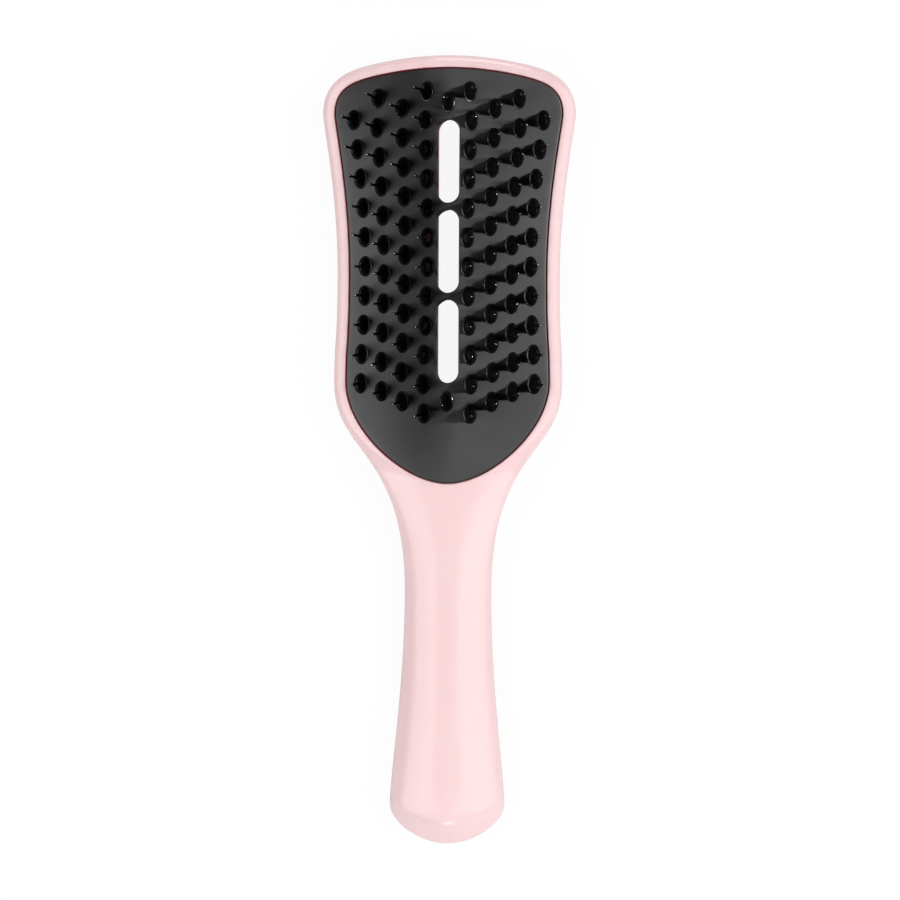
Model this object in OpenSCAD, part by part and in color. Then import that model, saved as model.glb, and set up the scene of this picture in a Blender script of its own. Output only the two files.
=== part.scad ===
// Vent brush: a two-shell handle and head in gloss plastic, with a black pad of flexible teeth.
// It lies on its back: teeth up, head towards +Y, handle towards -Y, width along X.

/* [Overall] */
// Length from the crown of the head to the tail of the handle
overall_l = 236.5; // [226:0.5:256]
// Wall of both shells
wall = 2; // [1.6:0.1:2.4]
// Play between parts that slide together
fit_gap = 0.15; // [0.1:0.05:0.25]

/* [Head] */
// Width across the shoulders, the widest place
shoulder_w = 76; // [72:0.5:82]
// Shoulders below the crown
shoulder_drop = 17.7; // [15:0.1:20]
// Width of the flat crown arc
crown_w = 49.2; // [44:0.2:52]
// Fall of the crown arc over half its width
crown_drop = 3.15; // [2:0.05:4]
// Width at the waist of the head
waist_w = 66.8; // [64:0.2:70]
// Waist below the crown
waist_drop = 66.3; // [60:0.1:72]
// Width at the hips, above the handle
hip_w = 68.6; // [66:0.2:72]
// Hips below the crown
hip_drop = 98; // [94:0.5:102]
// Height of the rim above the surface that the brush lies on
rim_z = 15; // [14:0.5:18]
// Height of the head's widest line, where the shells part
head_part_z = 12.8; // [11.5:0.1:13.2]
// Width of the rim from the outline to the pad opening
rim_w = 3.6; // [3.4:0.1:4.4]
// Small round on the inner edge of the rim
rim_edge = 0.6; // [0.3:0.05:0.8]
// Pad opening, from its top edge to the foot of its arch
opening_l = 124.95; // [121:0.05:128]

/* [Handle] */
// Width of the neck
neck_w = 26; // [23:0.2:30]
// Neck above the tail
neck_rise = 75.6; // [68:0.2:80]
// Width near the tail, the handle's widest place
tail_w = 34.5; // [31:0.5:38]
// Widest place above the tail
tail_rise = 12.2; // [11:0.1:15]
// Height of the handle's parting line
grip_part_z = 9.5; // [8.5:0.1:10.5]
// Height of the front of the neck
neck_top_z = 16.2; // [15:0.1:18]
// Height of the front of the grip's belly
belly_top_z = 18; // [17:0.1:20]
// Belly above the tail
belly_rise = 36; // [30:1:44]
// Lift of the back of the neck
neck_lift = 2; // [0:0.1:3]
// Length of the slanted tail facet on the front
facet_l = 5.9; // [4:0.1:8]
// Height above the tail at which the facet ends up the sides
facet_rise = 15.7; // [12:0.1:30]
// Depth of the lip that locates the shells
lip_h = 1.6; // [1.2:0.1:1.8]
// Thickness of the lip
lip_t = 0.9; // [0.7:0.05:1.1]

/* [Pad] */
// Gap seen between the pad and the rim
pad_gap = 0.3; // [0.2:0.05:0.4]
// Depth of the pad's top edge below the rim
pad_sink = 0.35; // [0.2:0.05:0.5]
// Thickness of the pad at its edge
pad_t = 3; // [2.6:0.1:3.4]
// Rise of the pad's middle above its edge
pad_dome = 3; // [1.5:0.1:4.5]
// Width of the ledge that the pad sits on
ledge_w = 2.4; // [1.8:0.1:3]
// Thickness of the ledge
ledge_t = 1.8; // [1.4:0.1:2.2]

/* [Vents] */
// Width of a slot in the pad
slot_w = 6.85; // [6:0.05:7.6]
// Length of a slot in the pad
slot_l = 24.9; // [23:0.1:26]
// Bar of pad between two slots
slot_bar = 2.1; // [1.8:0.1:3]
// First slot below the top edge of the opening
slot_drop = 15.8; // [14:0.1:20]
// Number of slots
slot_n = 3; // [1:1:3]
// How much wider than a slot the duct behind it is, on each side
duct_flare = 1.8; // [1.2:0.1:2.4]
// Wall of the duct
duct_t = 1.3; // [1:0.1:1.8]
// Thickness of the bars that cross the duct behind the pad's bars
duct_bar = 1.3; // [1:0.1:1.6]

/* [Teeth] */
// Teeth in each half of the innermost row
tooth_n = 12; // [8:1:12]
// First tooth below the top edge of the opening
tooth_drop = 7.4; // [7:0.1:9]
// Last tooth above the foot of the opening's arch
tooth_rise = 21.1; // [20:0.1:24]
// Clear pad between the first slot and the foot of the tooth beyond it
end_gap_top = 2.1; // [1.5:0.1:3]
// Clear pad between the last slot and the foot of the tooth beyond it
end_gap_foot = 2.5; // [1.5:0.1:3]
// Full height of a tooth above the pad
tooth_h = 13.5; // [11:0.5:16]
// Width of a tooth's foot across the brush
foot_w = 4; // [3.4:0.1:4.2]
// Length of a tooth's foot along the brush
foot_l = 6.15; // [5:0.05:6.4]
// Height of the flared base of a tooth
flare_h = 6; // [4.5:0.1:8]
// Thickness of a tooth's shaft
shaft_d = 0.76; // [0.6:0.02:0.9]
// Thickness of the round tip
tip_d = 0.9; // [0.8:0.05:1.3]
// Outward lean of the teeth by the crown, in degrees
lean_top = 11.5; // [8:0.5:18]
// Outward lean of the teeth by the handle, in degrees
lean_foot = 8.5; // [5:0.5:14]
// Lengthwise fan of the end teeth, in degrees
fan = 4; // [0:0.5:6]

/* [Hidden] */

pink = [0.96, 0.80, 0.82];
black = [0.16, 0.16, 0.17];

// Places along the length, measured from the middle
top_y = overall_l / 2;
tail_y = -overall_l / 2;
shoulder_y = top_y - shoulder_drop;
waist_y = top_y - waist_drop;
hip_y = top_y - hip_drop;
neck_y = tail_y + neck_rise;
grip_y = tail_y + tail_rise;
belly_y = tail_y + belly_rise;
open_top_y = top_y - rim_w;
arch_y = open_top_y - opening_l;

// Heights
seat_z = rim_z - pad_sink - pad_t;
ledge_z = seat_z - ledge_t;

// How far each curve keeps its direction at its two ends, as a share of its run
CORNER_PULL = [0.45, 0.70];
WAIST_PULL = [0.08, 0.51];
HIP_PULL = [0.66, 0.42];
FLARE_PULL = [0.35, 0.68];
GRIP_PULL = [0.46, 0.13];
TAIL_PULL = [0.52, 0.45];
ARCH_PULL = [0.49, 0.41];

// Stations along each curve of half the outline
CROWN_N = 7;
CORNER_N = 8;
WAIST_N = 9;
HIP_N = 6;
ARCH_N = 12;
FLARE_N = 5;
GRIP_N = 8;
TAIL_N = 9;
// Share of the flare that lies beside the arch
ARCH_SHARE = 0.55;

// Roundness of the front and of the back, 2 being an ellipse
FRONT_ROUND = 2.1;
BACK_ROUND = 2.3;
// How far the back's round edge reaches in from the outline before the flat land
BACK_REACH = 22;
// Width of the first chord of the front's rounded edge, as a share of the way in
EDGE_CHORD = 0.03;
// How far the lip's outer face tapers in
LIP_TAPER = 0.6;
// Spine kept clear at the tail, where the stations fan round the end
TAIL_FAN = 14;

function mix(a, b, t) = a + (b - a) * t;
function ease(t) = let (c = max(0, min(1, t))) c * c * (3 - 2 * c);
function unit(v) = v / norm(v);
function at_z(p, z) = [p[0], p[1], z];

function curve(c, t) = let (s = 1 - t)
    s * s * s * c[0] + 3 * s * s * t * c[1] + 3 * s * t * t * c[2] + t * t * t * c[3];
function heading(c, t) = let (s = 1 - t)
    unit(s * s * (c[1] - c[0]) + 2 * s * t * (c[2] - c[1]) + t * t * (c[3] - c[2]));
// A point of a curve and the direction out of the brush there
function station(c, t) = let (d = heading(c, t)) [curve(c, t), [-d[1], d[0]]];

// A curve that leaves one width along the brush and arrives at the next the same way
function side_curve(a, b, pull) = let (run = abs(a[1] - b[1]))
    [a, a - [0, pull[0] * run], b + [0, pull[1] * run], b];

crown_end = [crown_w / 2, top_y - crown_drop];
crown_dir = unit([1, -4 * crown_drop / crown_w]);
shoulder = [shoulder_w / 2, shoulder_y];
hip = [hip_w / 2, hip_y];
corner_run = crown_end[1] - shoulder_y;

CROWN = [[0, top_y], [crown_w / 6, top_y], crown_end - crown_dir * crown_w / 6, crown_end];
CORNER = [crown_end, crown_end + crown_dir * (shoulder[0] - crown_end[0]) * CORNER_PULL[0],
    shoulder + [0, corner_run * CORNER_PULL[1]], shoulder];
WAIST = side_curve(shoulder, [waist_w / 2, waist_y], WAIST_PULL);
HIP = side_curve([waist_w / 2, waist_y], hip, HIP_PULL);
FLARE = side_curve(hip, [neck_w / 2, neck_y], FLARE_PULL);
GRIP = side_curve([neck_w / 2, neck_y], [tail_w / 2, grip_y], GRIP_PULL);
TAIL = [[tail_w / 2, grip_y], [tail_w / 2, grip_y - tail_rise * TAIL_PULL[0]],
    [tail_w / 2 * TAIL_PULL[1], tail_y], [0, tail_y]];

head_edge = [
    for (k = [0 : CROWN_N - 1]) station(CROWN, k / CROWN_N),
    for (k = [0 : CORNER_N - 1]) station(CORNER, k / CORNER_N),
    for (k = [0 : WAIST_N - 1]) station(WAIST, k / WAIST_N),
    for (k = [0 : HIP_N - 1]) station(HIP, k / HIP_N)];
outline = concat(head_edge, [
    for (k = [0 : ARCH_N - 1]) station(FLARE, ARCH_SHARE * k / ARCH_N),
    for (k = [0 : FLARE_N - 1]) station(FLARE, mix(ARCH_SHARE, 1, k / FLARE_N)),
    for (k = [0 : GRIP_N - 1]) station(GRIP, k / GRIP_N),
    for (k = [0 : TAIL_N]) station(TAIL, k / TAIL_N)]);

HEAD_N = len(head_edge);
// Station at the foot of the arch, and the last one at the tail
ARCH = HEAD_N + ARCH_N;
NECK = ARCH + FLARE_N;
END = len(outline) - 1;

// The pad opening follows the outline round the head, and closes in an arch of its own
open_hip = hip - [rim_w, 0];
arch_run = hip_y - arch_y;
ARCH_CURVE = [open_hip, open_hip - [0, arch_run * ARCH_PULL[0]],
    [open_hip[0] * ARCH_PULL[1], arch_y], [0, arch_y]];
opening = concat([for (s = head_edge) [s[0] - s[1] * rim_w, s[1]]],
    [for (k = [0 : ARCH_N]) station(ARCH_CURVE, k / ARCH_N)]);

// The duct behind the slots is one long round-ended hole
duct_r = slot_w / 2 + duct_flare;
slots_l = slot_n * slot_l + (slot_n - 1) * slot_bar;
slots_top = open_top_y - slot_drop;
slots_y = slots_top - slots_l / 2;
duct_end = (slots_l - slot_w) / 2;
function duct_station(i) =
    let (up = CROWN_N + CORNER_N)
    let (turn = i < up ? 90 * (1 - i / up) : i <= HEAD_N ? 0 : -90 * (i - HEAD_N) / ARCH_N)
    let (n = [cos(turn), sin(turn)])
    let (y = mix(duct_end, -duct_end, max(0, min(1, (i - up) / (HEAD_N - up)))))
    [[0, slots_y + y] + duct_r * n, -n];
duct = [for (i = [0 : ARCH]) duct_station(i)];

// Place on the middle line that a handle station runs in to, starting from a given place
function spine_y(i, start) =
    let (y = outline[i][0][1])
    let (head = (start - outline[ARCH][0][1]) * (1 - ease((i - ARCH) / (NECK - ARCH))))
    let (tail = TAIL_FAN * pow(max(0, (neck_y - y) / (neck_y - tail_y)), 2))
    y + head + tail;

// Heights along the brush: the parting line, the front's middle line and the back's middle line
function part_z(y) = mix(grip_part_z, head_part_z, ease((y - neck_y) / (hip_y - neck_y)));
function crest_z(y) = y > neck_y
    ? mix(neck_top_z, rim_z, ease((y - neck_y) / (arch_y - neck_y)))
    : mix(belly_top_z, neck_top_z, ease((y - belly_y) / (neck_y - belly_y)));
function back_z(y) = y > neck_y
    ? mix(neck_lift, 0, ease((y - neck_y) / (hip_y - neck_y)))
    : mix(0, neck_lift, ease((y - belly_y) / (neck_y - belly_y)));

// Rise of a rounded edge, from 0 at the outline to 1 at its crest
function swell(v, round) = pow(1 - pow(1 - min(1, v), round), 1 / round);
// The tail's facet is the chord of that rise, and narrows to nothing up the sides
function facet(v, cut) = v < cut ? swell(cut, FRONT_ROUND) * v / cut : swell(v, FRONT_ROUND);
function facet_cut(y) = mix(EDGE_CHORD, facet_l / TAIL_FAN, max(0, 1 - (y - tail_y) / facet_rise));

// Shares of the way in from the outline at which the front's rows lie
FRONT_ROWS = [0.12, 0.3, 0.55, 0.8];
INNER_ROWS = [1, 0.7, 0.4, 0.15, 0];
BACK_ROWS = [0.02, 0.1, 0.25, 0.45, 0.7];
BACK_LAST = 0.86;

// Section of the front shell at one station, round from the outline over the front to the lip
function front_section(i) =
    let (p = outline[i][0], n = outline[i][1], in_head = i <= ARCH)
    let (spine = [0, spine_y(i, arch_y)])
    let (edge = in_head ? opening[i][0] : spine)
    let (out = in_head ? opening[i][1] : [0, 0])
    let (crest = edge + out * rim_edge)
    let (z0 = part_z(p[1]), z1 = in_head ? rim_z : crest_z(spine[1]))
    let (cut = facet_cut(p[1]))
    let (shares = concat([0, cut], [for (v = FRONT_ROWS) mix(cut, 1, v)], [1]))
    let (inner_edge = edge - out * ledge_w)
    let (lip_in = wall + fit_gap, foot = p - n * (lip_in + lip_t))
    let (lip_z = in_head ? ledge_z : z0 - lip_h, lip_foot = p - n * (lip_in + LIP_TAPER))
    concat(
        [for (v = shares) at_z(mix(p, crest, v), mix(z0, z1, facet(v, cut)))],
        [at_z(edge, z1 - rim_edge), at_z(edge, seat_z), at_z(inner_edge, seat_z)],
        [for (v = INNER_ROWS) at_z(mix(foot, inner_edge, v),
            in_head ? ledge_z : mix(z0, z1 - wall, swell(v, FRONT_ROUND)))],
        [at_z(in_head ? mix(foot, lip_foot, 0.5) : foot, lip_z), at_z(lip_foot, lip_z)],
        [at_z(p - n * lip_in, z0)]);

// Section of the back shell at one station, round from the outline under the back to the top edge
function back_section(i) =
    let (p = outline[i][0], n = outline[i][1], in_head = i <= ARCH)
    let (spine = [0, spine_y(i, duct[ARCH][0][1])])
    let (edge = in_head ? duct[i][0] : spine)
    let (out = in_head ? duct[i][1] : [0, 0])
    let (z0 = part_z(p[1]), z1 = in_head ? 0 : back_z(spine[1]))
    let (run = norm(edge - p))
    let (reach = pow(pow(run, -4) + pow(BACK_REACH, -4), -1 / 4))
    let (inner = p - n * wall, well = edge - out * duct_t, last = in_head ? 1 : BACK_LAST)
    concat(
        [at_z(p, z0)],
        [for (v = BACK_ROWS) at_z(mix(p, edge, v * reach / run), mix(z0, z1, swell(v, BACK_ROUND)))],
        [at_z(mix(p, edge, reach / run * last), mix(z0, z1, swell(last, BACK_ROUND))), at_z(edge, z1)],
        [at_z(edge, seat_z), at_z(well, seat_z)],
        [at_z(well, z1 + wall)],
        [for (k = [len(BACK_ROWS) - 1 : -1 : 0]) let (v = BACK_ROWS[k])
            at_z(mix(inner, well, v * (in_head ? reach / run : 1)),
                mix(z0, z1 + wall, swell(v, BACK_ROUND)))],
        [at_z(inner, z0)]);

// Joins the sections of one half and their mirror images into one closed skin. Up to the station
// named foot, the rows from first to last are the wall of an opening. From there on these rows are
// left out, and the rows on either side of them run along the middle line. Each cell is split along
// the diagonal that leaves the fuller triangles.
module mirrored_skin(sections, first, last, foot, over) {
    rows = len(sections[0]);
    half = len(sections) - 1;
    around = 2 * half;
    function mate(i) = let (k = i % around) k > half ? around - k : k;
    function shared(i, r) = mate(i) >= foot && r >= first - 1 && r <= last + 1;
    function at(i, r) = (shared(i, r % rows) ? mate(i) : i % around) * rows + r % rows;
    function open(i, r) = min(mate(i), mate(i + 1)) >= foot && r >= first - 1 && r <= last;
    function turned(a, b, c) = over ? [a, b, c] : [a, c, b];
    points = [for (i = [0 : around - 1], q = sections[mate(i)]) [i <= half ? q[0] : -q[0], q[1], q[2]]];
    function area(f) = norm(cross(points[f[1]] - points[f[0]], points[f[2]] - points[f[0]]));
    function fuller(p, q) = min(area(p[0]), area(p[1])) < min(area(q[0]), area(q[1])) ? q : p;
    function cell(a, b, c, d) =
        fuller([turned(a, b, c), turned(c, b, d)], [turned(a, b, d), turned(a, d, c)]);
    faces = [for (i = [0 : around - 1], r = [0 : rows - 1])
        if (!open(i, r)) each cell(at(i, r), at(i + 1, r), at(i, r + 1), at(i + 1, r + 1))];
    polyhedron(points, [for (f = faces) if (f[0] != f[1] && f[1] != f[2] && f[0] != f[2]) f]);
}

module front_shell() {
    sections = [for (i = [0 : END]) front_section(i)];
    color(pink) mirrored_skin(sections, 7, 9, ARCH, true);
}

module back_shell() {
    sections = [for (i = [0 : END]) back_section(i)];
    color(pink) {
        mirrored_skin(sections, 8, 9, ARCH, false);
        for (k = [1 : 1 : slot_n - 1])
            translate([0, slots_top - k * (slot_l + slot_bar) + slot_bar / 2, seat_z / 2])
                cube([2 * duct_r + duct_t, duct_bar, seat_z], center = true);
    }
}

// Half width of the pad at a place along the brush
pad_edge = [for (s = opening) s[0] - s[1] * pad_gap];
pad_widths = [for (k = [ARCH : -1 : 0]) [pad_edge[k][1], pad_edge[k][0]]];
function pad_half_w(y) = lookup(y, pad_widths);
pad_top_y = pad_edge[0][1];
pad_foot_y = pad_edge[ARCH][1];
pad_edge_z = rim_z - pad_sink;
// Height of the pad's top face
function pad_z(x, y) =
    let (across = min(1, abs(x) / max(0.1, pad_half_w(y))))
    let (along = min(1, abs(2 * y - pad_top_y - pad_foot_y) / (pad_top_y - pad_foot_y)))
    pad_edge_z + pad_dome * (1 - across * across) * (1 - pow(along, 4));

module pad_plate() {
    shares = [0.5, 1];
    function hub(i) = [0, mix(END_TEETH[0], END_TEETH[1], (1 - cos(180 * i / ARCH)) / 2)];
    sections = [for (i = [0 : ARCH]) let (e = pad_edge[i]) concat(
        [at_z(e, seat_z), at_z(e, pad_edge_z)],
        [for (v = shares) let (q = mix(e, hub(i), v)) at_z(q, pad_z(q[0], q[1]))],
        [at_z(hub(i), seat_z)])];
    mirrored_skin(sections, len(sections[0]) - 1, len(sections[0]) - 2, 0, true);
}

module slot_hole(y) {
    end = (slot_l - slot_w) / 2;
    translate([0, y, seat_z - 1]) hull()
        for (s = [-1, 1])
            translate([0, s * end, 0]) cylinder(d = slot_w, h = pad_t + pad_dome + 2, $fn = 24);
}

// A stack of oval rings, each given as height, half width and half length, leaning as it rises
module ring_stack(rings, sides, lean) {
    n = len(rings);
    points = [for (g = rings, k = [0 : sides - 1])
        [g[1] * cos(360 * k / sides), g[2] * sin(360 * k / sides), 0] + g[0] * [lean[0], lean[1], 1]];
    polyhedron(points, concat(
        [[for (k = [0 : sides - 1]) k]],
        [for (g = [0 : n - 2], k = [0 : sides - 1])
            let (a = g * sides + k, b = g * sides + (k + 1) % sides)
            each [[a, a + sides, b], [b, a + sides, b + sides]]],
        [[for (k = [sides - 1 : -1 : 0]) (n - 1) * sides + k]]));
}

// A tooth: a low foot, a flared base and a thin shaft with a round tip
module tooth(lean) {
    ROOT = 1.2;
    shaft_r = shaft_d / 2;
    tip_r = tip_d / 2;
    ring_stack([[-ROOT, foot_w / 2, foot_l / 2], [0.15, foot_w / 2, foot_l / 2],
        [0.6, foot_w * 0.37, foot_l * 0.41], [flare_h * 0.7, foot_w * 0.18, foot_l * 0.23],
        [flare_h, shaft_r * 1.1, shaft_r * 1.1], [tooth_h - tip_d * 1.2, shaft_r, shaft_r],
        [tooth_h - tip_r, tip_r, tip_r], [tooth_h, tip_r * 0.4, tip_r * 0.4]], 6, lean);
}

// Columns of teeth, inside to outside: count, start in row pitches, and share of the pad's half
// width at the crown, in the middle and at the handle end
COLUMNS = [
    [tooth_n, 0, 0.206, 0.2, 0.246],
    [tooth_n - 1, 0.593, 0.408, 0.432, 0.458],
    [tooth_n - 1, 0.25, 0.636, 0.648, 0.653],
    [tooth_n - 2, 0.98, 0.841, 0.839, 0.863]];
first_tooth_y = open_top_y - tooth_drop;
last_tooth_y = arch_y + tooth_rise;
tooth_pitch = (first_tooth_y - last_tooth_y) / (tooth_n - 1);
// The two teeth on the middle line stand beyond the slots at either end
END_TEETH = [slots_top + foot_l / 2 + end_gap_top, slots_top - slots_l - foot_l / 2 - end_gap_foot];

function share_at(c, t) = t < 0.5 ? mix(c[2], c[3], t * 2) : mix(c[3], c[4], t * 2 - 1);
function tooth_lean(side, t) = [side * tan(mix(lean_top, lean_foot, t)), tan(fan) * (1 - 2 * t)];

module teeth() {
    for (c = COLUMNS, k = [0 : c[0] - 1], side = [-1, 1]) {
        t = (k + c[1]) / (tooth_n - 1);
        y = first_tooth_y - (k + c[1]) * tooth_pitch;
        x = side * share_at(c, t) * pad_half_w(y);
        translate([x, y, pad_z(x, y)]) tooth(tooth_lean(side, t));
    }
    for (k = [0, 1])
        translate([0, END_TEETH[k], pad_z(0, END_TEETH[k])]) tooth(tooth_lean(0, k));
}

module bristle_pad() {
    color(black) {
        difference() {
            pad_plate();
            for (k = [0 : slot_n - 1]) slot_hole(slots_top - slot_l / 2 - k * (slot_l + slot_bar));
        }
        teeth();
    }
}

front_shell();
back_shell();
bristle_pad();
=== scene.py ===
import math
import random

import bpy
from mathutils import Matrix, Vector
from mathutils.geometry import delaunay_2d_cdt


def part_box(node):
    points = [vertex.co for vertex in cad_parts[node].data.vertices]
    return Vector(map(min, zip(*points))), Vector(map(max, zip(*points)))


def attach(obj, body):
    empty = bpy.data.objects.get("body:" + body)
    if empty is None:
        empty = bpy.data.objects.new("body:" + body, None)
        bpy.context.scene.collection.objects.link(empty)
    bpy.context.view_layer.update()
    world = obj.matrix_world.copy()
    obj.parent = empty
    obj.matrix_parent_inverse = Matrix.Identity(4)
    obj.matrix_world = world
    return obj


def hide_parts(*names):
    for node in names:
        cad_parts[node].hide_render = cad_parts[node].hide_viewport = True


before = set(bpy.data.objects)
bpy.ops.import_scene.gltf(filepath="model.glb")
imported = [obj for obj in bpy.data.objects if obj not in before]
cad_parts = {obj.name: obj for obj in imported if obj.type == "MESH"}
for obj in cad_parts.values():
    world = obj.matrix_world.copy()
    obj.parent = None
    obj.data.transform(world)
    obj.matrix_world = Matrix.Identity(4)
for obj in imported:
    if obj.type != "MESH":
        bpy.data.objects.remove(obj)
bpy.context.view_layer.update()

MM = 0.001

# The brush lies on its back: teeth up, head towards +Y, handle towards -Y, width along X.
# Sizes are in millimetres, except in the part on floor, lights and camera, and those in this list
# are the ones that the solids have.
FRONT_BOX = [[c / MM for c in corner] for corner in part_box("front_shell")]
TOP_Y = FRONT_BOX[1][1]
TAIL_Y = FRONT_BOX[0][1]
SHOULDER = (FRONT_BOX[1][0], TOP_Y - 17.7)
CROWN_HALF = 24.6
CROWN_DROP = 3.15
WAIST = (33.4, TOP_Y - 66.3)
HIP = (34.3, TOP_Y - 98.0)
NECK = (13.0, TAIL_Y + 75.6)
GRIP_RISE = 12.2
GRIP = (17.25, TAIL_Y + GRIP_RISE)
BELLY_Y = TAIL_Y + 36.0
WALL = 2.0
RIM_Z = 15.0
RIM_W = 3.6
RIM_EDGE = 0.6
HEAD_PART_Z = 12.8
GRIP_PART_Z = 9.5
NECK_TOP_Z = 16.2
BELLY_TOP_Z = FRONT_BOX[1][2]
NECK_LIFT = 2.0
FACET_L = 5.9
FACET_RISE = 15.7
LIP_GAP = 0.15
LIP_H = 1.6
LIP_T = 0.9
LIP_TAPER = 0.6
OPEN_TOP_Y = TOP_Y - RIM_W
ARCH_Y = OPEN_TOP_Y - 124.95

PAD_GAP = 0.3
PAD_EDGE_Z = RIM_Z - 0.35
SEAT_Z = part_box("bristle_pad")[0][2] / MM
PAD_DOME = 3.0
LEDGE_W = 2.4
LEDGE_Z = SEAT_Z - 1.8

SLOT_W = 6.85
SLOT_L = 24.9
SLOT_BAR = 2.1
SLOTS_TOP = OPEN_TOP_Y - 15.8
SLOT_N = 3
DUCT_R = SLOT_W / 2 + 1.8
DUCT_T = 1.3
DUCT_BAR = 1.3

TOOTH_N = 12
TOOTH_H = 13.5
FOOT_L = 6.15
FIRST_TOOTH_Y = OPEN_TOP_Y - 7.4
LAST_TOOTH_Y = ARCH_Y + 21.1
END_GAPS = (2.1, 2.5)
# Degrees that the teeth lean out at the crown and at the handle end, and that they fan lengthwise
LEAN_TOP = 11.5
LEAN_FOOT = 8.5
FAN = 4.0

# Powers of the rounding across the front and the back, and how far the back's reaches
FRONT_ROUND = 2.1
BACK_ROUND = 2.3
BACK_REACH = 22.0
# How far the last sections run up the middle line from the tail's end
TAIL_FAN = 14.0

# Where the control points of the outline's curves stand, as shares of each curve's run
CORNER_PULLS = (0.45, 0.7)
UPPER_SIDE_PULLS = (0.08, 0.51)
LOWER_SIDE_PULLS = (0.66, 0.42)
FLARE_PULLS = (0.35, 0.68)
GRIP_PULLS = (0.46, 0.13)
TAIL_PULLS = (0.52, 0.45)
ARCH_PULLS = (0.49, 0.41)


# Curves and outlines

def mix(a, b, t):
    return a + (b - a) * t


def mix2(a, b, t):
    return (mix(a[0], b[0], t), mix(a[1], b[1], t))


def ease(t):
    c = max(0.0, min(1.0, t))
    return c * c * (3 - 2 * c)


def step_in(p, n, d):
    return (p[0] - n[0] * d, p[1] - n[1] * d)


def station(c, t):
    """A point of a cubic curve and the direction out of the brush there."""
    s = 1 - t
    w = (s * s * s, 3 * s * s * t, 3 * s * t * t, t * t * t)
    p = tuple(sum(w[k] * c[k][a] for k in range(4)) for a in (0, 1))
    v = (s * s, 2 * s * t, t * t)
    d = [sum(v[k] * (c[k + 1][a] - c[k][a]) for k in range(3)) for a in (0, 1)]
    size = math.hypot(*d)
    return p, (-d[1] / size, d[0] / size)


def side_curve(a, b, pull):
    run = abs(a[1] - b[1])
    return [a, (a[0], a[1] - pull[0] * run), (b[0], b[1] + pull[1] * run), b]


def crown_curves():
    end = (CROWN_HALF, TOP_Y - CROWN_DROP)
    size = math.hypot(1, 2 * CROWN_DROP / CROWN_HALF)
    d = (1 / size, -2 * CROWN_DROP / CROWN_HALF / size)
    third = CROWN_HALF / 3
    pull = (SHOULDER[0] - end[0]) * CORNER_PULLS[0]
    lift = (end[1] - SHOULDER[1]) * CORNER_PULLS[1]
    crown = [(0, TOP_Y), (third, TOP_Y), (end[0] - d[0] * third, end[1] - d[1] * third), end]
    corner = [end, (end[0] + d[0] * pull, end[1] + d[1] * pull),
              (SHOULDER[0], SHOULDER[1] + lift), SHOULDER]
    return crown, corner


CROWN, CORNER = crown_curves()
FLARE = side_curve(HIP, NECK, FLARE_PULLS)
# The share of the flare beside which the pad's opening ends
ARCH_SHARE = 0.55
# Curves of half the outline, each with its number of stations and the part of it that is used
RUNS = [
    (CROWN, 20, 0, 1),
    (CORNER, 28, 0, 1),
    (side_curve(SHOULDER, WAIST, UPPER_SIDE_PULLS), 36, 0, 1),
    (side_curve(WAIST, HIP, LOWER_SIDE_PULLS), 24, 0, 1),
    (FLARE, 56, 0, ARCH_SHARE),
    (FLARE, 24, ARCH_SHARE, 1),
    (side_curve(NECK, GRIP, GRIP_PULLS), 44, 0, 1),
    ([GRIP, (GRIP[0], GRIP[1] - GRIP_RISE * TAIL_PULLS[0]), (GRIP[0] * TAIL_PULLS[1], TAIL_Y),
      (0, TAIL_Y)], 44, 0, 1)]
OUTLINE = [station(c, mix(a, b, k / n)) for c, n, a, b in RUNS for k in range(n)]
OUTLINE.append(station(RUNS[-1][0], 1))
ENDS = [sum(run[1] for run in RUNS[:k + 1]) for k in range(len(RUNS))]
# Stations at the shoulder, the hip, the end of the pad's opening, the neck and the tail's end
TURN_I, HEAD_I, ARCH_I, NECK_I, LAST_I = (ENDS[k] for k in (1, 3, 4, 5, 7))


def opening_curve():
    hip = (HIP[0] - RIM_W, HIP[1])
    run = hip[1] - ARCH_Y
    arch = [hip, (hip[0], hip[1] - ARCH_PULLS[0] * run), (hip[0] * ARCH_PULLS[1], ARCH_Y),
            (0, ARCH_Y)]
    n = ARCH_I - HEAD_I
    return ([(step_in(p, d, RIM_W), d) for p, d in OUTLINE[:HEAD_I]]
            + [station(arch, k / n) for k in range(n + 1)])


OPENING = opening_curve()
SLOTS_L = SLOT_N * SLOT_L + (SLOT_N - 1) * SLOT_BAR
SLOTS_Y = SLOTS_TOP - SLOTS_L / 2


def duct_station(i):
    """The back's long window, round-ended, and the direction away from its inside."""
    turn = 0.0
    if i < TURN_I:
        turn = 90 * (1 - i / TURN_I)
    elif i > HEAD_I:
        turn = -90 * (i - HEAD_I) / (ARCH_I - HEAD_I)
    n = (math.cos(math.radians(turn)), math.sin(math.radians(turn)))
    along = max(0.0, min(1.0, (i - TURN_I) / (HEAD_I - TURN_I)))
    y = SLOTS_Y + (SLOTS_L - SLOT_W) / 2 * (1 - 2 * along)
    return (DUCT_R * n[0], y + DUCT_R * n[1]), (-n[0], -n[1])


DUCT = [duct_station(i) for i in range(ARCH_I + 1)]


def spine_y(i, start):
    """Where on the middle line a station past the opening ends; the last ones fan out."""
    y = OUTLINE[i][0][1]
    head = (start - OUTLINE[ARCH_I][0][1]) * (1 - ease((i - ARCH_I) / (NECK_I - ARCH_I)))
    return y + head + TAIL_FAN * max(0.0, (NECK[1] - y) / (NECK[1] - TAIL_Y)) ** 2


# Heights

def part_z(y):
    return mix(GRIP_PART_Z, HEAD_PART_Z, ease((y - NECK[1]) / (HIP[1] - NECK[1])))


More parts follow.
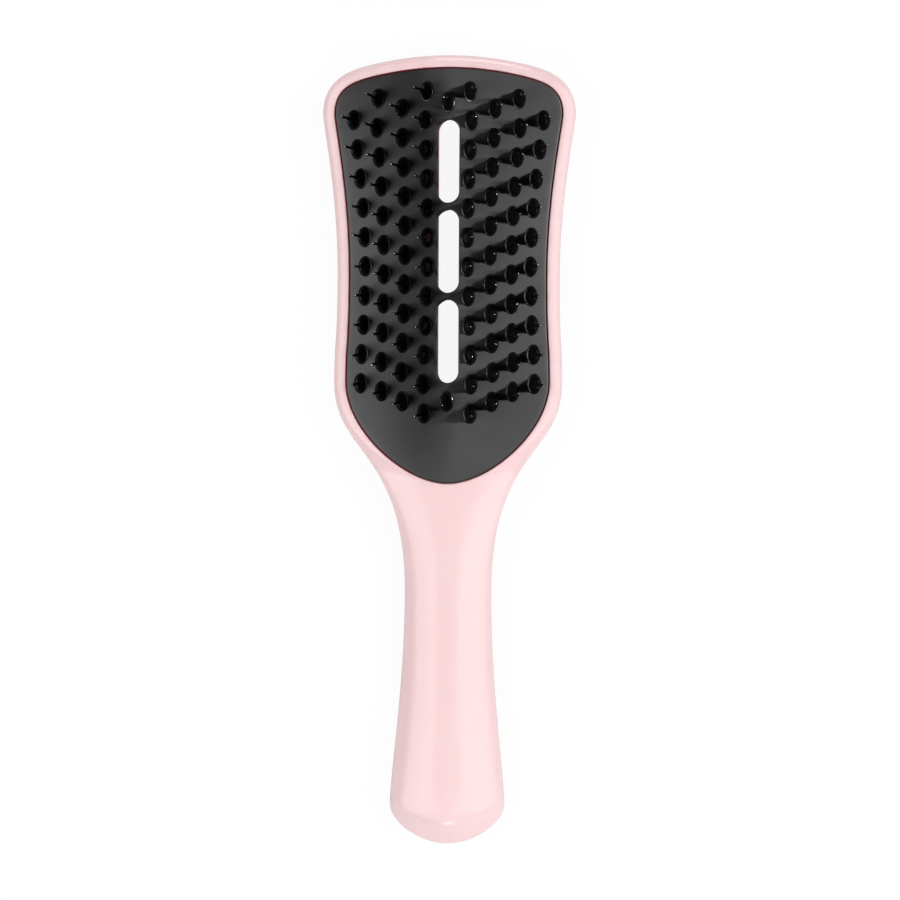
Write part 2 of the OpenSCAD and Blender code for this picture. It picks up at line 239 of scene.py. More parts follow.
def crest_z(y):
    if y > NECK[1]:
        return mix(NECK_TOP_Z, RIM_Z, ease((y - NECK[1]) / (ARCH_Y - NECK[1])))
    return mix(BELLY_TOP_Z, NECK_TOP_Z, ease((y - BELLY_Y) / (NECK[1] - BELLY_Y)))


def back_z(y):
    if y > NECK[1]:
        return mix(NECK_LIFT, 0, ease((y - NECK[1]) / (HIP[1] - NECK[1])))
    return mix(0, NECK_LIFT, ease((y - BELLY_Y) / (NECK[1] - BELLY_Y)))


def swell(v, power):
    """The rise of a rounded side, from 0 at its edge to 1 at its crest."""
    return (1 - (1 - min(1.0, v)) ** power) ** (1 / power)


def soft_min(a, b, k):
    """The lesser of two values, with the kink rounded over k."""
    h = max(0.0, min(1.0, 0.5 + 0.5 * (b - a) / k))
    return mix(b, a, h) - k * h * (1 - h)


# How soft the facet's crease is, the shares over which it fades in, and the least cut that is made
FACET_SOFT = 0.035
FACET_FADE = (0.15, 0.2)
LEAST_CUT = 0.02


def facet(v, cut):
    """The front's rise, cut by the slanted facet at the tail, with a soft crease."""
    rise = swell(v, FRONT_ROUND)
    if cut < LEAST_CUT or v == 0:
        return rise
    line = swell(cut, FRONT_ROUND) * v / cut
    soft = FACET_SOFT * min(1.0, v / FACET_FADE[0]) * min(1.0, cut / FACET_FADE[1])
    return soft_min(line, rise, soft) if soft > 1e-4 else min(line, rise)


def facet_cut(y):
    return FACET_L / TAIL_FAN * max(0.0, 1 - (y - TAIL_Y) / FACET_RISE)


PAD_EDGE = [step_in(p, n, PAD_GAP) for p, n in OPENING]


def pad_half_w(y):
    """Half width of the pad at a place along the brush."""
    if y >= PAD_EDGE[0][1] or y <= PAD_EDGE[-1][1]:
        return 0.0
    low, high = 0, len(PAD_EDGE) - 1
    while high - low > 1:
        mid = (low + high) // 2
        if PAD_EDGE[mid][1] > y:
            low = mid
        else:
            high = mid
    a, b = PAD_EDGE[low], PAD_EDGE[high]
    return mix(a[0], b[0], (a[1] - y) / max(1e-9, a[1] - b[1]))


def pad_z(x, y):
    across = min(1.0, abs(x) / max(0.1, pad_half_w(y)))
    top, foot = PAD_EDGE[0][1], PAD_EDGE[-1][1]
    along = min(1.0, abs(2 * y - top - foot) / (top - foot))
    return PAD_EDGE_Z + PAD_DOME * (1 - across * across) * (1 - along ** 4)


# Mesh building

# Degrees between two faces from which their edge is drawn sharp
SHELL_SHARP = 35
PAD_SHARP = 50
TOOTH_SHARP = 60


def make_piece(name, points, faces, replaces, material, sharp=SHELL_SHARP):
    mesh = bpy.data.meshes.new(name)
    mesh.from_pydata([(x * MM, y * MM, z * MM) for x, y, z in points], [], faces)
    mesh.validate()
    mesh.shade_smooth()
    mesh.set_sharp_from_angle(angle=math.radians(sharp))
    piece = bpy.data.objects.new(name, mesh)
    bpy.context.scene.collection.objects.link(piece)
    mesh.materials.append(material)
    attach(piece, "root")
    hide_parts(replaces)
    return piece


def without_repeats(ring):
    return [q for k, q in enumerate(ring) if q != ring[k - 1]]


def add_mesh(points, faces, more, sides):
    base = len(points)
    points += more
    faces += [[base + q for q in f] for f in sides]


def tube_faces(rows, n):
    """Quads round a tube of rings with n points each."""
    return [[r * n + k, r * n + (k + 1) % n, (r + 1) * n + (k + 1) % n, (r + 1) * n + k]
            for r in range(rows - 1) for k in range(n)]


def mirrored_skin(sections, first, last, foot, over):
    """Joins the sections of one half and their mirror images into one closed skin. The rows from
    first to last are the wall of an opening that closes at the station foot. Gives the points, the
    faces and the row of each point."""
    rows = len(sections[0])
    half = len(sections) - 1
    around = 2 * half

    def mate(i):
        k = i % around
        return around - k if k > half else k

    def at(i, r):
        r %= rows
        shared = mate(i) >= foot and first - 1 <= r <= last + 1
        return (mate(i) if shared else i % around) * rows + r

    points = []
    for i in range(around):
        side = 1 if i <= half else -1
        points += [(side * x, y, z) for x, y, z in sections[mate(i)]]
    faces = []
    for i in range(around):
        for r in range(rows):
            if min(mate(i), mate(i + 1)) >= foot and first - 1 <= r <= last:
                continue
            ring = without_repeats([at(i, r), at(i + 1, r), at(i + 1, r + 1), at(i, r + 1)])
            if len(ring) > 2:
                faces.append(ring if over else ring[::-1])
    used = sorted({q for f in faces for q in f})
    place = {q: k for k, q in enumerate(used)}
    faces = [[place[q] for q in f] for f in faces]
    return [points[q] for q in used], faces, [q % rows for q in used]


def at_z(p, z):
    return (p[0], p[1], z)


def quarter(steps, count):
    """Angles of a quarter turn cut into steps."""
    return [math.pi / 2 * k / steps for k in range(count)]


# Rows of the shells as shares of the way from the edge to the crest, closer near the edge
FRONT_ROWS = [1 - math.cos(a) for a in quarter(40, 41)]
BACK_ROWS = [1 - math.cos(a) for a in quarter(30, 30)]
INNER_ROWS = [1, 0.8, 0.55, 0.3, 0.15, 0.05, 0]
# Angles round a rounded edge
FILLET = quarter(5, 6)


def front_section(i):
    (p, n), in_head = OUTLINE[i], i <= ARCH_I
    edge, out = OPENING[i] if in_head else ((0.0, spine_y(i, ARCH_Y)), (0.0, 0.0))
    z0 = part_z(p[1])
    z1 = RIM_Z if in_head else crest_z(edge[1])
    crest = step_in(edge, out, -RIM_EDGE)
    cut = facet_cut(p[1])
    points = [at_z(mix2(p, crest, v), mix(z0, z1, facet(v, cut))) for v in FRONT_ROWS]
    points += [at_z(mix2(crest, edge, math.sin(a)), z1 - RIM_EDGE * (1 - math.cos(a)))
               for a in FILLET[1:]]
    inner = step_in(edge, out, LEDGE_W)
    points += [at_z(edge, SEAT_Z), at_z(inner, SEAT_Z)]
    lip_in = WALL + LIP_GAP
    foot = step_in(p, n, lip_in + LIP_T)
    lip_foot = step_in(p, n, lip_in + LIP_TAPER)
    for v in INNER_ROWS:
        z = LEDGE_Z if in_head else mix(z0, z1 - WALL, swell(v, FRONT_ROUND))
        points.append(at_z(mix2(foot, inner, v), z))
    lip_z = LEDGE_Z if in_head else z0 - LIP_H
    points.append(at_z(mix2(foot, lip_foot, 0.5) if in_head else foot, lip_z))
    points += [at_z(lip_foot, lip_z), at_z(step_in(p, n, lip_in), z0)]
    return points


# The wall of the pad's opening gets painted shade, a deeper red, and a painted glow, standing in
# for
# the pink light that bleeds into the gap: its rows from the rim's round edge down
PAINTED_GAP_LIGHT_MASK = "gap_wall_painted_shade_and_glow"
GAP_PAINT_SHARES = {2: 0.25, 3: 0.6, 4: 1.0, 5: 1.0, 6: 1.0}
# How far past the arch a point still counts as the wall's
GAP_END = 0.01


def front_shell(material):
    sections = [front_section(i) for i in range(LAST_I + 1)]
    first = len(FRONT_ROWS)
    points, faces, rows = mirrored_skin(sections, first, first + len(FILLET), ARCH_I, True)
    piece = make_piece("front_shell_skin", points, faces, "front_shell", material)
    # Mask of the painted shade and painted glow on the wall of the pad's opening
    wall = piece.data.attributes.new(PAINTED_GAP_LIGHT_MASK, "FLOAT", "POINT")
    for k, (point, row) in enumerate(zip(points, rows)):
        in_head = point[1] > ARCH_Y - GAP_END
        wall.data[k].value = GAP_PAINT_SHARES.get(row - first, 0.0) if in_head else 0.0
    return piece


VENT_EDGE = 0.7
# How near the middle line the back's own surface ends behind the opening
SPINE_SHARE = 0.995


def back_section(i):
    (p, n), in_head = OUTLINE[i], i <= ARCH_I
    edge, out = DUCT[i] if in_head else ((0.0, spine_y(i, DUCT[-1][0][1])), (0.0, 0.0))
    z0 = part_z(p[1])
    z1 = 0.0 if in_head else back_z(edge[1])
    run = math.hypot(edge[0] - p[0], edge[1] - p[1])
    # The rounding ends at the lesser of the run and BACK_REACH, softly
    reach = (run ** -4 + BACK_REACH ** -4) ** -0.25
    points = [at_z(mix2(p, edge, v * reach / run), mix(z0, z1, swell(v, BACK_ROUND)))
              for v in BACK_ROWS]
    flat = mix2(p, edge, reach / run * (1 if in_head else SPINE_SHARE))
    points.append(at_z(flat, z1))
    crest = step_in(edge, out, -VENT_EDGE)
    points += [at_z(mix2(crest, edge, math.sin(a)), z1 + VENT_EDGE * (1 - math.cos(a)))
               for a in FILLET]
    well = step_in(edge, out, -DUCT_T)
    inner = step_in(p, n, WALL)
    points += [at_z(edge, SEAT_Z), at_z(well, SEAT_Z), at_z(well, z1 + WALL)]
    share = reach / run if in_head else 1
    for v in BACK_ROWS[:0:-3]:
        points.append(at_z(mix2(inner, well, v * share), mix(z0, z1 + WALL, swell(v, BACK_ROUND))))
    points.append(at_z(inner, z0))
    return points


VENT_TUCK = 0.1
VENT_STEPS = 24
BAR_EDGE_R = 0.3


def vent_bar(y):
    """A bar across the duct, with a hollow round end of a vent on each side."""
    r = DUCT_R - VENT_TUCK
    half = r + DUCT_BAR / 2
    wide = DUCT_R + DUCT_T / 2
    turns = [math.pi * (k / VENT_STEPS - 0.5) for k in range(VENT_STEPS + 1)]
    arc = [(r * math.sin(a), half - r * math.cos(a)) for a in turns]
    ring = [(wide, half)] + arc[::-1] + [(-wide, half)]
    ring = [(-x, -y2) for x, y2 in ring] + ring
    return [(x, y2 + y) for x, y2 in ring]


def prism(ring, z0, z1, edge):
    """An upright prism whose lower edge is rounded."""
    n = len(ring)
    levels = [z0 + edge * (1 - math.cos(a)) for a in FILLET]
    normals = []
    for k in range(n):
        a, b = ring[k - 1], ring[(k + 1) % n]
        d = (b[0] - a[0], b[1] - a[1])
        size = math.hypot(*d)
        normals.append((d[1] / size, -d[0] / size))
    points = [(p[0] - d[0] * edge * (1 - math.sin(a)), p[1] - d[1] * edge * (1 - math.sin(a)), z)
              for z, a in zip(levels, FILLET) for p, d in zip(ring, normals)]
    points += [(p[0], p[1], z1) for p in ring]
    rows = len(levels) + 1
    faces = tube_faces(rows, n)
    faces.append(list(range(n))[::-1])
    faces.append([(rows - 1) * n + k for k in range(n)])
    return points, faces


def back_shell(material):
    sections = [back_section(i) for i in range(LAST_I + 1)]
    first = len(BACK_ROWS) + 2
    points, faces, _ = mirrored_skin(sections, first, first + len(FILLET), ARCH_I, False)
    for k in range(1, SLOT_N):
        y = SLOTS_TOP - k * (SLOT_L + SLOT_BAR) + SLOT_BAR / 2
        add_mesh(points, faces, *prism(vent_bar(y), 0, SEAT_Z, BAR_EDGE_R))
    return make_piece("back_shell_skin", points, faces, "back_shell", material)


# The pad: a domed plate with rounded edges and three slots

PAD_EDGE_R = 0.45
SLOT_EDGE_R = 0.55
SLOT_SIDES = 48
# A slot's straight sides are the steps longer than this, and are cut into so many
LONG_STEP = 2
STRAIGHT_STEPS = 12
# Grid of points on the pad's top: its step, the rows' share of that, and the room that it keeps
# from the pad's sides and ends and from the slots
SPOT_STEP = 1.3
SPOT_ROW = 0.87
SIDE_ROOM = 1.2
END_ROOM = 0.6
HOLE_ROOM = 0.4


def ring_of(half):
    """A closed ring from one half's points and their mirror images."""
    return half + [(-x, y) for x, y in half[-2:0:-1]]


def slot_ring(y, grow):
    r = SLOT_W / 2 + grow
    end = (SLOT_L - SLOT_W) / 2
    ring = []
    for k in range(SLOT_SIDES):
        a = 2 * math.pi * (k + 0.5) / SLOT_SIDES
        ring.append((r * math.cos(a), y + (end if math.sin(a) > 0 else -end) + r * math.sin(a)))
    out = []
    for k, q in enumerate(ring):
        out.append(q)
        after = ring[(k + 1) % SLOT_SIDES]
        if abs(after[1] - q[1]) > LONG_STEP:
            out += [mix2(q, after, s / STRAIGHT_STEPS) for s in range(1, STRAIGHT_STEPS)]
    return out


def inside(ring, x, y):
    hit = False
    for k in range(len(ring)):
        (x1, y1), (x2, y2) = ring[k - 1], ring[k]
        if (y1 > y) != (y2 > y) and x < (x2 - x1) * (y - y1) / (y2 - y1) + x1:
            hit = not hit
    return hit


def fill(outer, holes, spots, height):
    """Triangles between an outer ring and its holes, through the given spots."""
    verts = [Vector(p) for p in outer]
    edges = [(k, (k + 1) % len(outer)) for k in range(len(outer))]
    for ring in holes:
        base = len(verts)
        verts += [Vector(p) for p in ring]
        edges += [(base + k, base + (k + 1) % len(ring)) for k in range(len(ring))]
    verts += [Vector(p) for p in spots]
    flat, _, tris, _, _, _ = delaunay_2d_cdt(verts, edges, [], 1, 1e-6)
    keep = []
    for t in tris:
        x = sum(flat[q][0] for q in t) / 3
        y = sum(flat[q][1] for q in t) / 3
        if not any(inside(ring, x, y) for ring in holes):
            keep.append(list(t))
    return [(v[0], v[1], height(v[0], v[1])) for v in flat], keep


def wall_rows(rings):
    """Quads between a stack of rings with as many points each."""
    n = len(rings[0])
    points = [q for ring in rings for q in ring]
    faces = [[r * n + k, (r + 1) * n + k, (r + 1) * n + (k + 1) % n, r * n + (k + 1) % n]
             for r in range(len(rings) - 1) for k in range(n)]
    return points, faces


def weld(parts, step=1e-4):
    """Joins meshes at their common points."""
    points, faces, place = [], [], {}
    for more, sides in parts:
        index = []
        for p in more:
            key = tuple(round(c / step) for c in p)
            if key not in place:
                place[key] = len(points)
                points.append(p)
            index.append(place[key])
        for f in sides:
            ring = without_repeats([index[q] for q in f])
            if len(ring) > 2:
                faces.append(ring)
    return points, faces


def pad_plate(material):
    normals = [n for _, n in OPENING]

    def edge_ring(d):
        return ring_of([step_in(p, n, d) if 0 < k < ARCH_I else (0.0, p[1] - n[1] * d)
                        for k, (p, n) in enumerate(zip(PAD_EDGE, normals))])

    sides = []
    rounds = [[at_z(q, pad_z(*q) - PAD_EDGE_R * (1 - math.cos(math.pi / 2 - a)))
               for q in edge_ring(PAD_EDGE_R * (1 - math.cos(a)))] for a in FILLET]
    foot = [at_z(q, SEAT_Z) for q in edge_ring(0)]
    sides.append(wall_rows([foot] + rounds))
    tops, feet = [], []
    for k in range(SLOT_N):
        y = SLOTS_TOP - SLOT_L / 2 - k * (SLOT_L + SLOT_BAR)
        rings = [[at_z(q, pad_z(*q) - SLOT_EDGE_R * (1 - math.sin(a)))
                  for q in slot_ring(y, SLOT_EDGE_R * (1 - math.cos(a)))] for a in FILLET]
        under = [at_z(q, SEAT_Z) for q in slot_ring(y, 0)]
        points, faces = wall_rows([under] + rings)
        sides.append((points, [f[::-1] for f in faces]))
        tops.append(slot_ring(y, SLOT_EDGE_R))
        feet.append(slot_ring(y, 0))
    outer = edge_ring(PAD_EDGE_R)
    spots = inner_spots(outer, tops)
    top = fill(outer, tops, spots, pad_z)
    bottom, under = fill(edge_ring(0), feet, [], lambda x, y: SEAT_Z)
    points, faces = weld(sides + [top, (bottom, [f[::-1] for f in under])])
    return make_piece("pad_plate", points, faces, "bristle_pad", material, PAD_SHARP)


def inner_spots(outer, holes):
    """Places on a grid inside a ring and clear of its edges and holes."""
    spots = []
    row = 0
    y = PAD_EDGE[-1][1]
    while y < PAD_EDGE[0][1]:
        half = pad_half_w(y) - SIDE_ROOM
        x = -math.floor(half / SPOT_STEP) * SPOT_STEP + (SPOT_STEP / 2 if row % 2 else 0)
        while x < half:
            clear = all(not inside(ring, x + dx, y + dy) for ring in holes
                        for dx in (-HOLE_ROOM, HOLE_ROOM) for dy in (-HOLE_ROOM, HOLE_ROOM))
            if clear and inside(outer, x, y + END_ROOM) and inside(outer, x, y - END_ROOM):
                spots.append((x, y))
            x += SPOT_STEP
        y += SPOT_STEP * SPOT_ROW
        row += 1
    return spots


# The teeth

# Columns from the inside out: count, start in row pitches, and share of the pad's half width at
# the crown, in the middle and at the handle end
COLUMNS = [
    (TOOTH_N, 0.0, 0.206, 0.2, 0.246),
    (TOOTH_N - 1, 0.593, 0.408, 0.432, 0.458),
    (TOOTH_N - 1, 0.25, 0.636, 0.648, 0.653),
    (TOOTH_N - 2, 0.98, 0.841, 0.839, 0.863)]
# Height, half width and half length of a tooth, from its low round foot up to the ball's neck
TOOTH_PROFILE = [
    (-0.6, 2.1, 3.14), (0.0, 2.1, 3.14), (0.16, 2.02, 3.06), (0.3, 1.9, 2.94), (0.335, 1.76, 2.8),
    (0.5, 1.63, 2.66), (0.8, 1.48, 2.45), (1.4, 1.32, 2.15), (2.2, 1.16, 1.9), (3.0, 0.99, 1.71),
    (3.8, 0.83, 1.55), (4.3, 0.73, 1.38), (4.7, 0.62, 1.08), (5.0, 0.54, 0.76), (5.3, 0.47, 0.55),
    (5.8, 0.42, 0.45), (6.4, 0.4, 0.41), (7.2, 0.385, 0.39), (9.5, 0.37, 0.37),
    (12.55, 0.355, 0.355)]
BALL_R = 0.46
# Rings over half a turn of the ball, and the first of them that shows above the shaft
BALL_RINGS = 12
BALL_FIRST = 3
TOOTH_SIDES = 20
# The foot follows the dome of the pad up to this height
SKIRT_H = 0.6
# Degrees that the teeth are bent to the right at the crown and at the handle end, and how much
# more per column at the handle end of the right half, counted from its middle
BEND_TOP = 1.0
BEND_FOOT = 3.2
BEND_STEP = 2.8
MIDDLE_COLUMN = 1.5
# Largest random change of a tooth's slope
WOBBLE = 0.02
WOBBLE_SEED = 7


def tooth_rings():
    rings = list(TOOTH_PROFILE)
    centre = TOOTH_H - BALL_R
    for k in range(BALL_FIRST, BALL_RINGS):
        a = math.pi * k / BALL_RINGS
        rings.append((centre - BALL_R * math.cos(a), BALL_R * math.sin(a), BALL_R * math.sin(a)))
    return rings


def tooth(x, y, lean, rings):
    z = pad_z(x, y)
    points = []
    for h, rx, ry in rings:
        rise = max(0.0, h)
        for k in range(TOOTH_SIDES):
            a = 2 * math.pi * k / TOOTH_SIDES
            px, py = x + rx * math.cos(a), y + ry * math.sin(a)
            skirt = (pad_z(px, py) - z) * max(0.0, 1 - rise / SKIRT_H) if h < SKIRT_H else 0
            points.append((px + lean[0] * rise, py + lean[1] * rise, z + h + skirt))
    points.append((x + lean[0] * TOOTH_H, y + lean[1] * TOOTH_H, z + TOOTH_H))
    n = TOOTH_SIDES
    faces = tube_faces(len(rings), n)
    last = (len(rings) - 1) * n
    faces += [[last + k, last + (k + 1) % n, last + n] for k in range(n)]
    faces.append(list(range(n))[::-1])
    return points, faces


def worn_lean(side, column, t):
    """How far a tooth leans out: soft teeth in use are bent a little to one side."""
    more = BEND_STEP * t * (column - MIDDLE_COLUMN) if side > 0 else 0
    bent = side * mix(BEND_TOP, BEND_FOOT, t) + more
    return math.tan(math.radians(mix(LEAN_TOP, LEAN_FOOT, t) + bent))


def tooth_places():
    pitch = (FIRST_TOOTH_Y - LAST_TOOTH_Y) / (TOOTH_N - 1)
    places = []
    for column, (count, start, top, middle, foot) in enumerate(COLUMNS):
        for k in range(count):
            t = (k + start) / (TOOTH_N - 1)
            y = FIRST_TOOTH_Y - (k + start) * pitch
            share = mix(top, middle, t * 2) if t < 0.5 else mix(middle, foot, t * 2 - 1)
            for side in (-1, 1):
                x = side * share * pad_half_w(y)
                places.append((x, y, side * worn_lean(side, column, t), t))
    reach = FOOT_L / 2
    places.append((0.0, SLOTS_TOP + reach + END_GAPS[0], 0, 0.0))
    places.append((0.0, SLOTS_TOP - SLOTS_L - reach - END_GAPS[1], 0, 1.0))
    return places


def teeth(material):
    wobble = random.Random(WOBBLE_SEED)
    rings = tooth_rings()
    points, faces = [], []
    for x, y, lean_x, t in tooth_places():
        lean_y = math.tan(math.radians(FAN)) * (1 - 2 * t)
        lean = (lean_x + wobble.uniform(-WOBBLE, WOBBLE), lean_y + wobble.uniform(-WOBBLE, WOBBLE))
        add_mesh(points, faces, *tooth(x, y, lean, rings))
    return make_piece("teeth", points, faces, "bristle_pad", material, TOOTH_SHARP)


# Materials

# The range that holds most of a noise texture's values
NOISE_RANGE = (0.3, 0.7)
PINK_TINTS = ((0.935, 0.667, 0.682), (0.955, 0.693, 0.708))
PINK_ROUGHNESS = (0.13, 0.19)
# Painted shade and painted glow for the gap between pad and rim: a dark red and a faint red
# emission stand in for pink light bled into the gap
GAP_PAINTED_SHADE_RED = (0.3, 0.022, 0.034, 1)
GAP_PAINTED_GLOW = (0.5, 0.02, 0.03, 1)
GAP_PAINTED_GLOW_STRENGTH = 0.12
# Shares of a black's own colour that its mottling runs between
BLACK_MOTTLE = (0.86, 1.14)


def new_material(name):
    material = bpy.data.materials.new(name)
    material.use_nodes = True
    nodes = material.node_tree.nodes
    shader = nodes["Principled BSDF"]
    return material, nodes, material.node_tree.links, shader


def noise(nodes, links, scale, detail):
    place = nodes.new("ShaderNodeTexCoord")
    texture = nodes.new("ShaderNodeTexNoise")
    texture.inputs["Scale"].default_value = scale
    texture.inputs["Detail"].default_value = detail
    links.new(place.outputs["Object"], texture.inputs["Vector"])
    return texture.outputs["Fac"]


def spread(nodes, links, source, low, high):
    """Maps a noise to the given range."""
    ramp = nodes.new("ShaderNodeMapRange")
    ramp.inputs["From Min"].default_value = NOISE_RANGE[0]
    ramp.inputs["From Max"].default_value = NOISE_RANGE[1]
    ramp.inputs["To Min"].default_value = low
    ramp.inputs["To Max"].default_value = high
    links.new(source, ramp.inputs["Value"])
    return ramp.outputs["Result"]


def tint(nodes, links, source, low, high):
    """Maps a noise to colours between the two given ones."""
    ramp = nodes.new("ShaderNodeValToRGB")
    for stop, place, colour in zip(ramp.color_ramp.elements, NOISE_RANGE, (low, high)):
        stop.position = place
        stop.color = (*colour, 1)
    links.new(source, ramp.inputs["Fac"])
    return ramp.outputs["Color"]


def times(nodes, links, source, factor):
    node = nodes.new("ShaderNodeMath")
    node.operation = "MULTIPLY"
    node.inputs[1].default_value = factor
    links.new(source, node.inputs[0])
    return node.outputs["Value"]


def bump(nodes, links, source, strength, distance, shader):
    node = nodes.new("ShaderNodeBump")
    node.inputs["Strength"].default_value = strength
    node.inputs["Distance"].default_value = distance
    links.new(source, node.inputs["Height"])
    links.new(node.outputs["Normal"], shader.inputs["Normal"])


def pink_gloss():
    material, nodes, links, shader = new_material("pink_gloss_plastic")
    # Where the gap mask is set, the base colour turns to a painted dark red shade and the surface
    # gets a painted glow
    wall = nodes.new("ShaderNodeAttribute")
    wall.attribute_name = PAINTED_GAP_LIGHT_MASK
    gap_shade_mix = nodes.new("ShaderNodeMix")
    gap_shade_mix.data_type = "RGBA"
    gap_shade_mix.inputs["B"].default_value = GAP_PAINTED_SHADE_RED
    mottle = tint(nodes, links, noise(nodes, links, 18, 3), *PINK_TINTS)
    links.new(wall.outputs["Fac"], gap_shade_mix.inputs["Factor"])
    links.new(mottle, gap_shade_mix.inputs["A"])
    links.new(gap_shade_mix.outputs["Result"], shader.inputs["Base Color"])
    shader.inputs["Emission Color"].default_value = GAP_PAINTED_GLOW
    painted_glow = times(nodes, links, wall.outputs["Fac"], GAP_PAINTED_GLOW_STRENGTH)
    links.new(painted_glow, shader.inputs["Emission Strength"])
    wear = spread(nodes, links, noise(nodes, links, 60, 4), *PINK_ROUGHNESS)
    links.new(wear, shader.inputs["Roughness"])
    shader.inputs["IOR"].default_value = 1.49
    shader.inputs["Subsurface Weight"].default_value = 0.12
    shader.inputs["Subsurface Radius"].default_value = (0.004, 0.002, 0.002)
    shader.inputs["Subsurface Scale"].default_value = 0.6
    bump(nodes, links, noise(nodes, links, 90, 2), 0.06, 0.0006, shader)
    return material


def black_plastic(name, roughness, base, ior):
    material, nodes, links, shader = new_material(name)
    low, high = (tuple(c * share for c in base) for share in BLACK_MOTTLE)
    mottle = tint(nodes, links, noise(nodes, links, 45, 4), low, high)
    links.new(mottle, shader.inputs["Base Color"])
    wear = spread(nodes, links, noise(nodes, links, 120, 3), *roughness)
    links.new(wear, shader.inputs["Roughness"])
    shader.inputs["IOR"].default_value = ior
    bump(nodes, links, noise(nodes, links, 900, 3), 0.12, 0.0002, shader)
    return material


# Floor, lights and camera

WHITE = (1, 1, 1, 1)
FLOOR_HALF = 3.0
FLOOR_DROP = 0.0002
FLOOR_GREY = (0.82, 0.82, 0.82, 1)
# The camera sees this share of the floor as plain white, and the rest with the brush's shadow
FLOOR_WHITE_SHARE = 0.88
FLOOR_WHITE = 1.03
WORLD_LIGHT = 0.03


def white_floor():
    far = FLOOR_HALF
    mesh = bpy.data.meshes.new("floor")
    mesh.from_pydata([(-far, -far, 0), (far, -far, 0), (far, far, 0), (-far, far, 0)], [],
                     [[0, 1, 2, 3]])
    floor = bpy.data.objects.new("floor", mesh)
    floor.location = (0, 0, -FLOOR_DROP)
    bpy.context.scene.collection.objects.link(floor)
    material, nodes, links, shader = new_material("white_floor")
    shader.inputs["Base Color"].default_value = FLOOR_GREY
    shader.inputs["Roughness"].default_value = 0.9
    seen = nodes.new("ShaderNodeLightPath")
    plain = nodes.new("ShaderNodeEmission")
    plain.inputs["Strength"].default_value = FLOOR_WHITE
    mixer = nodes.new("ShaderNodeMixShader")
    share = times(nodes, links, seen.outputs["Is Camera Ray"], FLOOR_WHITE_SHARE)
    links.new(share, mixer.inputs["Fac"])
    links.new(shader.outputs["BSDF"], mixer.inputs[1])
    links.new(plain.outputs["Emission"], mixer.inputs[2])
    links.new(mixer.outputs["Shader"], nodes["Material Output"].inputs["Surface"])
    mesh.materials.append(material)


def world_light():
    """A faint white light all round, which the camera sees as plain white."""
    world = bpy.data.worlds.new("studio")
    bpy.context.scene.world = world
    world.use_nodes = True
    nodes, links = world.node_tree.nodes, world.node_tree.links
    back = nodes["Background"]
    bright = nodes.new("ShaderNodeBackground")
    for node, strength in ((back, WORLD_LIGHT), (bright, 1.0)):
        node.inputs["Color"].default_value = WHITE
        node.inputs["Strength"].default_value = strength
    seen = nodes.new("ShaderNodeLightPath")
    mixer = nodes.new("ShaderNodeMixShader")
    links.new(seen.outputs["Is Camera Ray"], mixer.inputs["Fac"])
    links.new(back.outputs["Background"], mixer.inputs[1])
    links.new(bright.outputs["Background"], mixer.inputs[2])
    links.new(mixer.outputs["Shader"], nodes["World Output"].inputs["Surface"])


# Each lamp's angle off the vertical towards +X and its turn about Z in degrees, its distance,
# width and height in metres, and its watts
LAMPS = {
    "right_panel": (47, 0, 1.3, 1.9, 1.6, 17.2),
    "left_panel": (-37, 0, 1.3, 1.0, 1.6, 10.0),
    "tail_panel": (62, -90, 1.2, 0.7, 0.3, 4.5),
    "crown_panel": (62, 90, 1.2, 0.7, 0.3, 2.8),
    "right_key": (55, 12, 1.08, 0.1, 0.1, 19.8),
    "left_key": (-52, 15, 1.08, 0.8, 0.7, 19),
    "tip_light": (-6, 0, 1.1, 0.06, 0.06, 260)}


def softbox(name):
    """A rectangular lamp that faces the brush."""
    angle, turn, distance, width, height, watts = LAMPS[name]
    light = bpy.data.lights.new(name, "AREA")
    light.shape = "RECTANGLE"
    light.size = width
    light.size_y = height
    light.energy = watts
    lamp = bpy.data.objects.new(name, light)
    tip = Matrix.Rotation(math.radians(angle), 4, "Y")
    spin = Matrix.Rotation(math.radians(turn), 4, "Z") @ tip
    lamp.matrix_world = spin @ Matrix.Translation((0, 0, distance))
    bpy.context.scene.collection.objects.link(lamp)
    return lamp


# The upright cards beside the head, in metres: the X and the lower edge of each, and the ends and
# the upper edge that they share
CARDS = {"left_flag": (-0.047, 0.0615), "right_flag": (0.047, 0.0505)}
CARD_Y = (-0.03, 0.14)
CARD_TOP = 0.115


def flag(name):
    """A card over the teeth, which keeps a small light off the far half of the pad."""
    x, low = CARDS[name]
    near, far = CARD_Y
    mesh = bpy.data.meshes.new(name)
    mesh.from_pydata([(x, near, low), (x, far, low), (x, far, CARD_TOP), (x, near, CARD_TOP)], [],
                     [[0, 1, 2, 3]])
    card = bpy.data.objects.new(name, mesh)
    bpy.context.scene.collection.objects.link(card)
    material, _, _, shader = new_material(name + "_black")
    shader.inputs["Base Color"].default_value = (0.02, 0.02, 0.02, 1)
    shader.inputs["Roughness"].default_value = 0.9
    mesh.materials.append(material)
    card.visible_camera = card.visible_glossy = False
    card.visible_diffuse = card.visible_transmission = False
    return card


def only(name, objects, state="INCLUDE"):
    """A collection for light linking that includes or excludes the given objects."""
    group = bpy.data.collections.new(name)
    for thing in objects:
        group.objects.link(thing)
    for entry in group.collection_objects:
        entry.light_linking.link_state = state
    return group


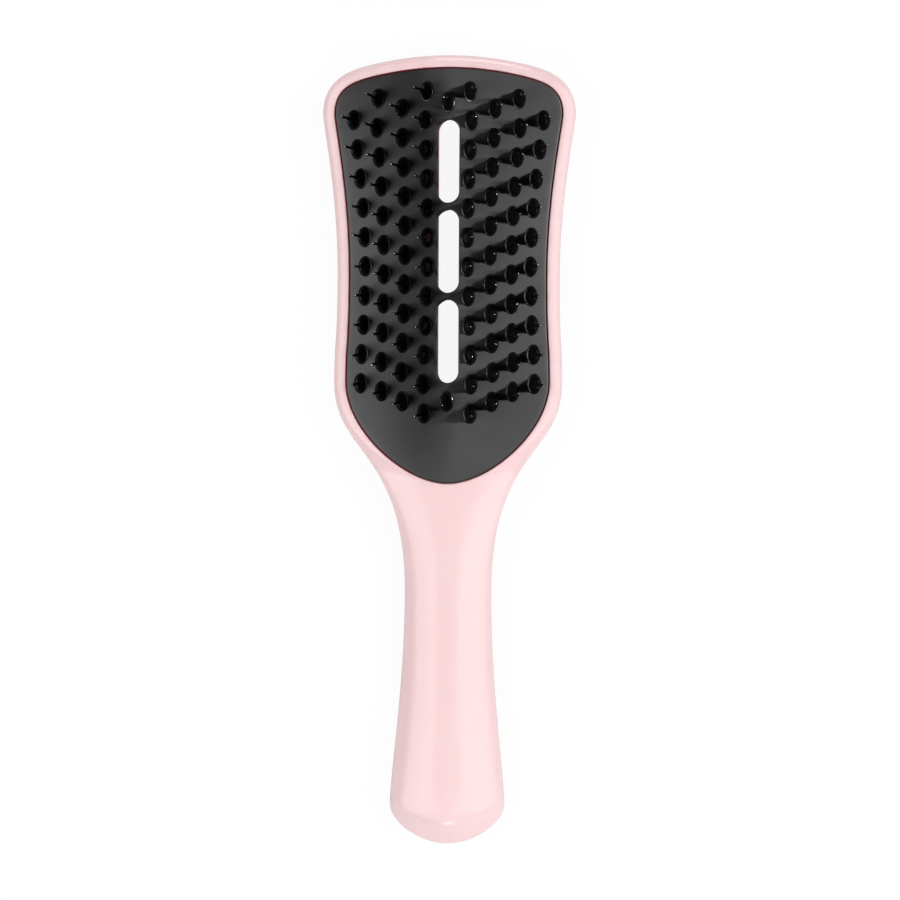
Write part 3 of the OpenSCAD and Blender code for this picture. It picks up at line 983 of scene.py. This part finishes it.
def studio_lights(pad, bristles):
    """Large panels for the shells, and on each half of the pad a small lamp of its own."""
    cards = (flag("left_flag"), flag("right_flag"))
    for name, unlit in (("right_panel", [pad, bristles]), ("left_panel", [pad]),
                        ("tail_panel", [pad, bristles]), ("crown_panel", [pad, bristles])):
        panel = softbox(name)
        panel.light_linking.receiver_collection = only(name + "_lights", unlit, "EXCLUDE")
        panel.light_linking.blocker_collection = only(name + "_passes", cards, "EXCLUDE")
    keys = (softbox("right_key"), softbox("left_key"))
    for key, other in zip(keys, cards):
        key.light_linking.receiver_collection = only(key.name + "_lights", [pad, bristles])
        key.light_linking.blocker_collection = only(key.name + "_passes", [other], "EXCLUDE")
    spark = softbox("tip_light")
    spark.visible_diffuse = False
    spark.light_linking.receiver_collection = only("tip_light_lights", [bristles])
    for lamp in (spark, *keys):
        lamp.data.cycles.max_bounces = 0


SENSOR_WIDTH = 36
CAMERA_DISTANCE = 2.5
# How far the camera stands towards +X from straight above
CAMERA_TILT = math.radians(5.0)
# Width of what the camera sees, and what is in the middle of the picture
VIEW_WIDTH = 0.27
VIEW_MIDDLE = (0.00063, -0.00013, 0.012)
PICTURE_TURN = math.radians(0.27)


def camera():
    data = bpy.data.cameras.new("camera")
    data.sensor_width = SENSOR_WIDTH
    data.sensor_fit = "HORIZONTAL"
    data.lens = SENSOR_WIDTH * CAMERA_DISTANCE / VIEW_WIDTH
    data.clip_end = 20
    eye = bpy.data.objects.new("camera", data)
    back = Vector((math.sin(CAMERA_TILT), 0, math.cos(CAMERA_TILT)))
    eye.location = Vector(VIEW_MIDDLE) + CAMERA_DISTANCE * back
    look = Matrix((Vector((0, 1, 0)).cross(back), Vector((0, 1, 0)), back)).transposed()
    eye.rotation_euler = (look @ Matrix.Rotation(PICTURE_TURN, 3, "Z")).to_euler()
    bpy.context.scene.collection.objects.link(eye)
    bpy.context.scene.camera = eye


def build():
    pink = pink_gloss()
    front_shell(pink)
    back_shell(pink)
    pad = pad_plate(black_plastic("pad_satin_black", (0.5, 0.58), (0.042, 0.042, 0.0432), 1.38))
    bristles = teeth(black_plastic("tooth_gloss_black", (0.2, 0.27), (0.003, 0.003, 0.0032), 1.24))
    white_floor()
    world_light()
    studio_lights(pad, bristles)
    camera()
    bpy.context.scene.view_settings.view_transform = "Standard"


build()
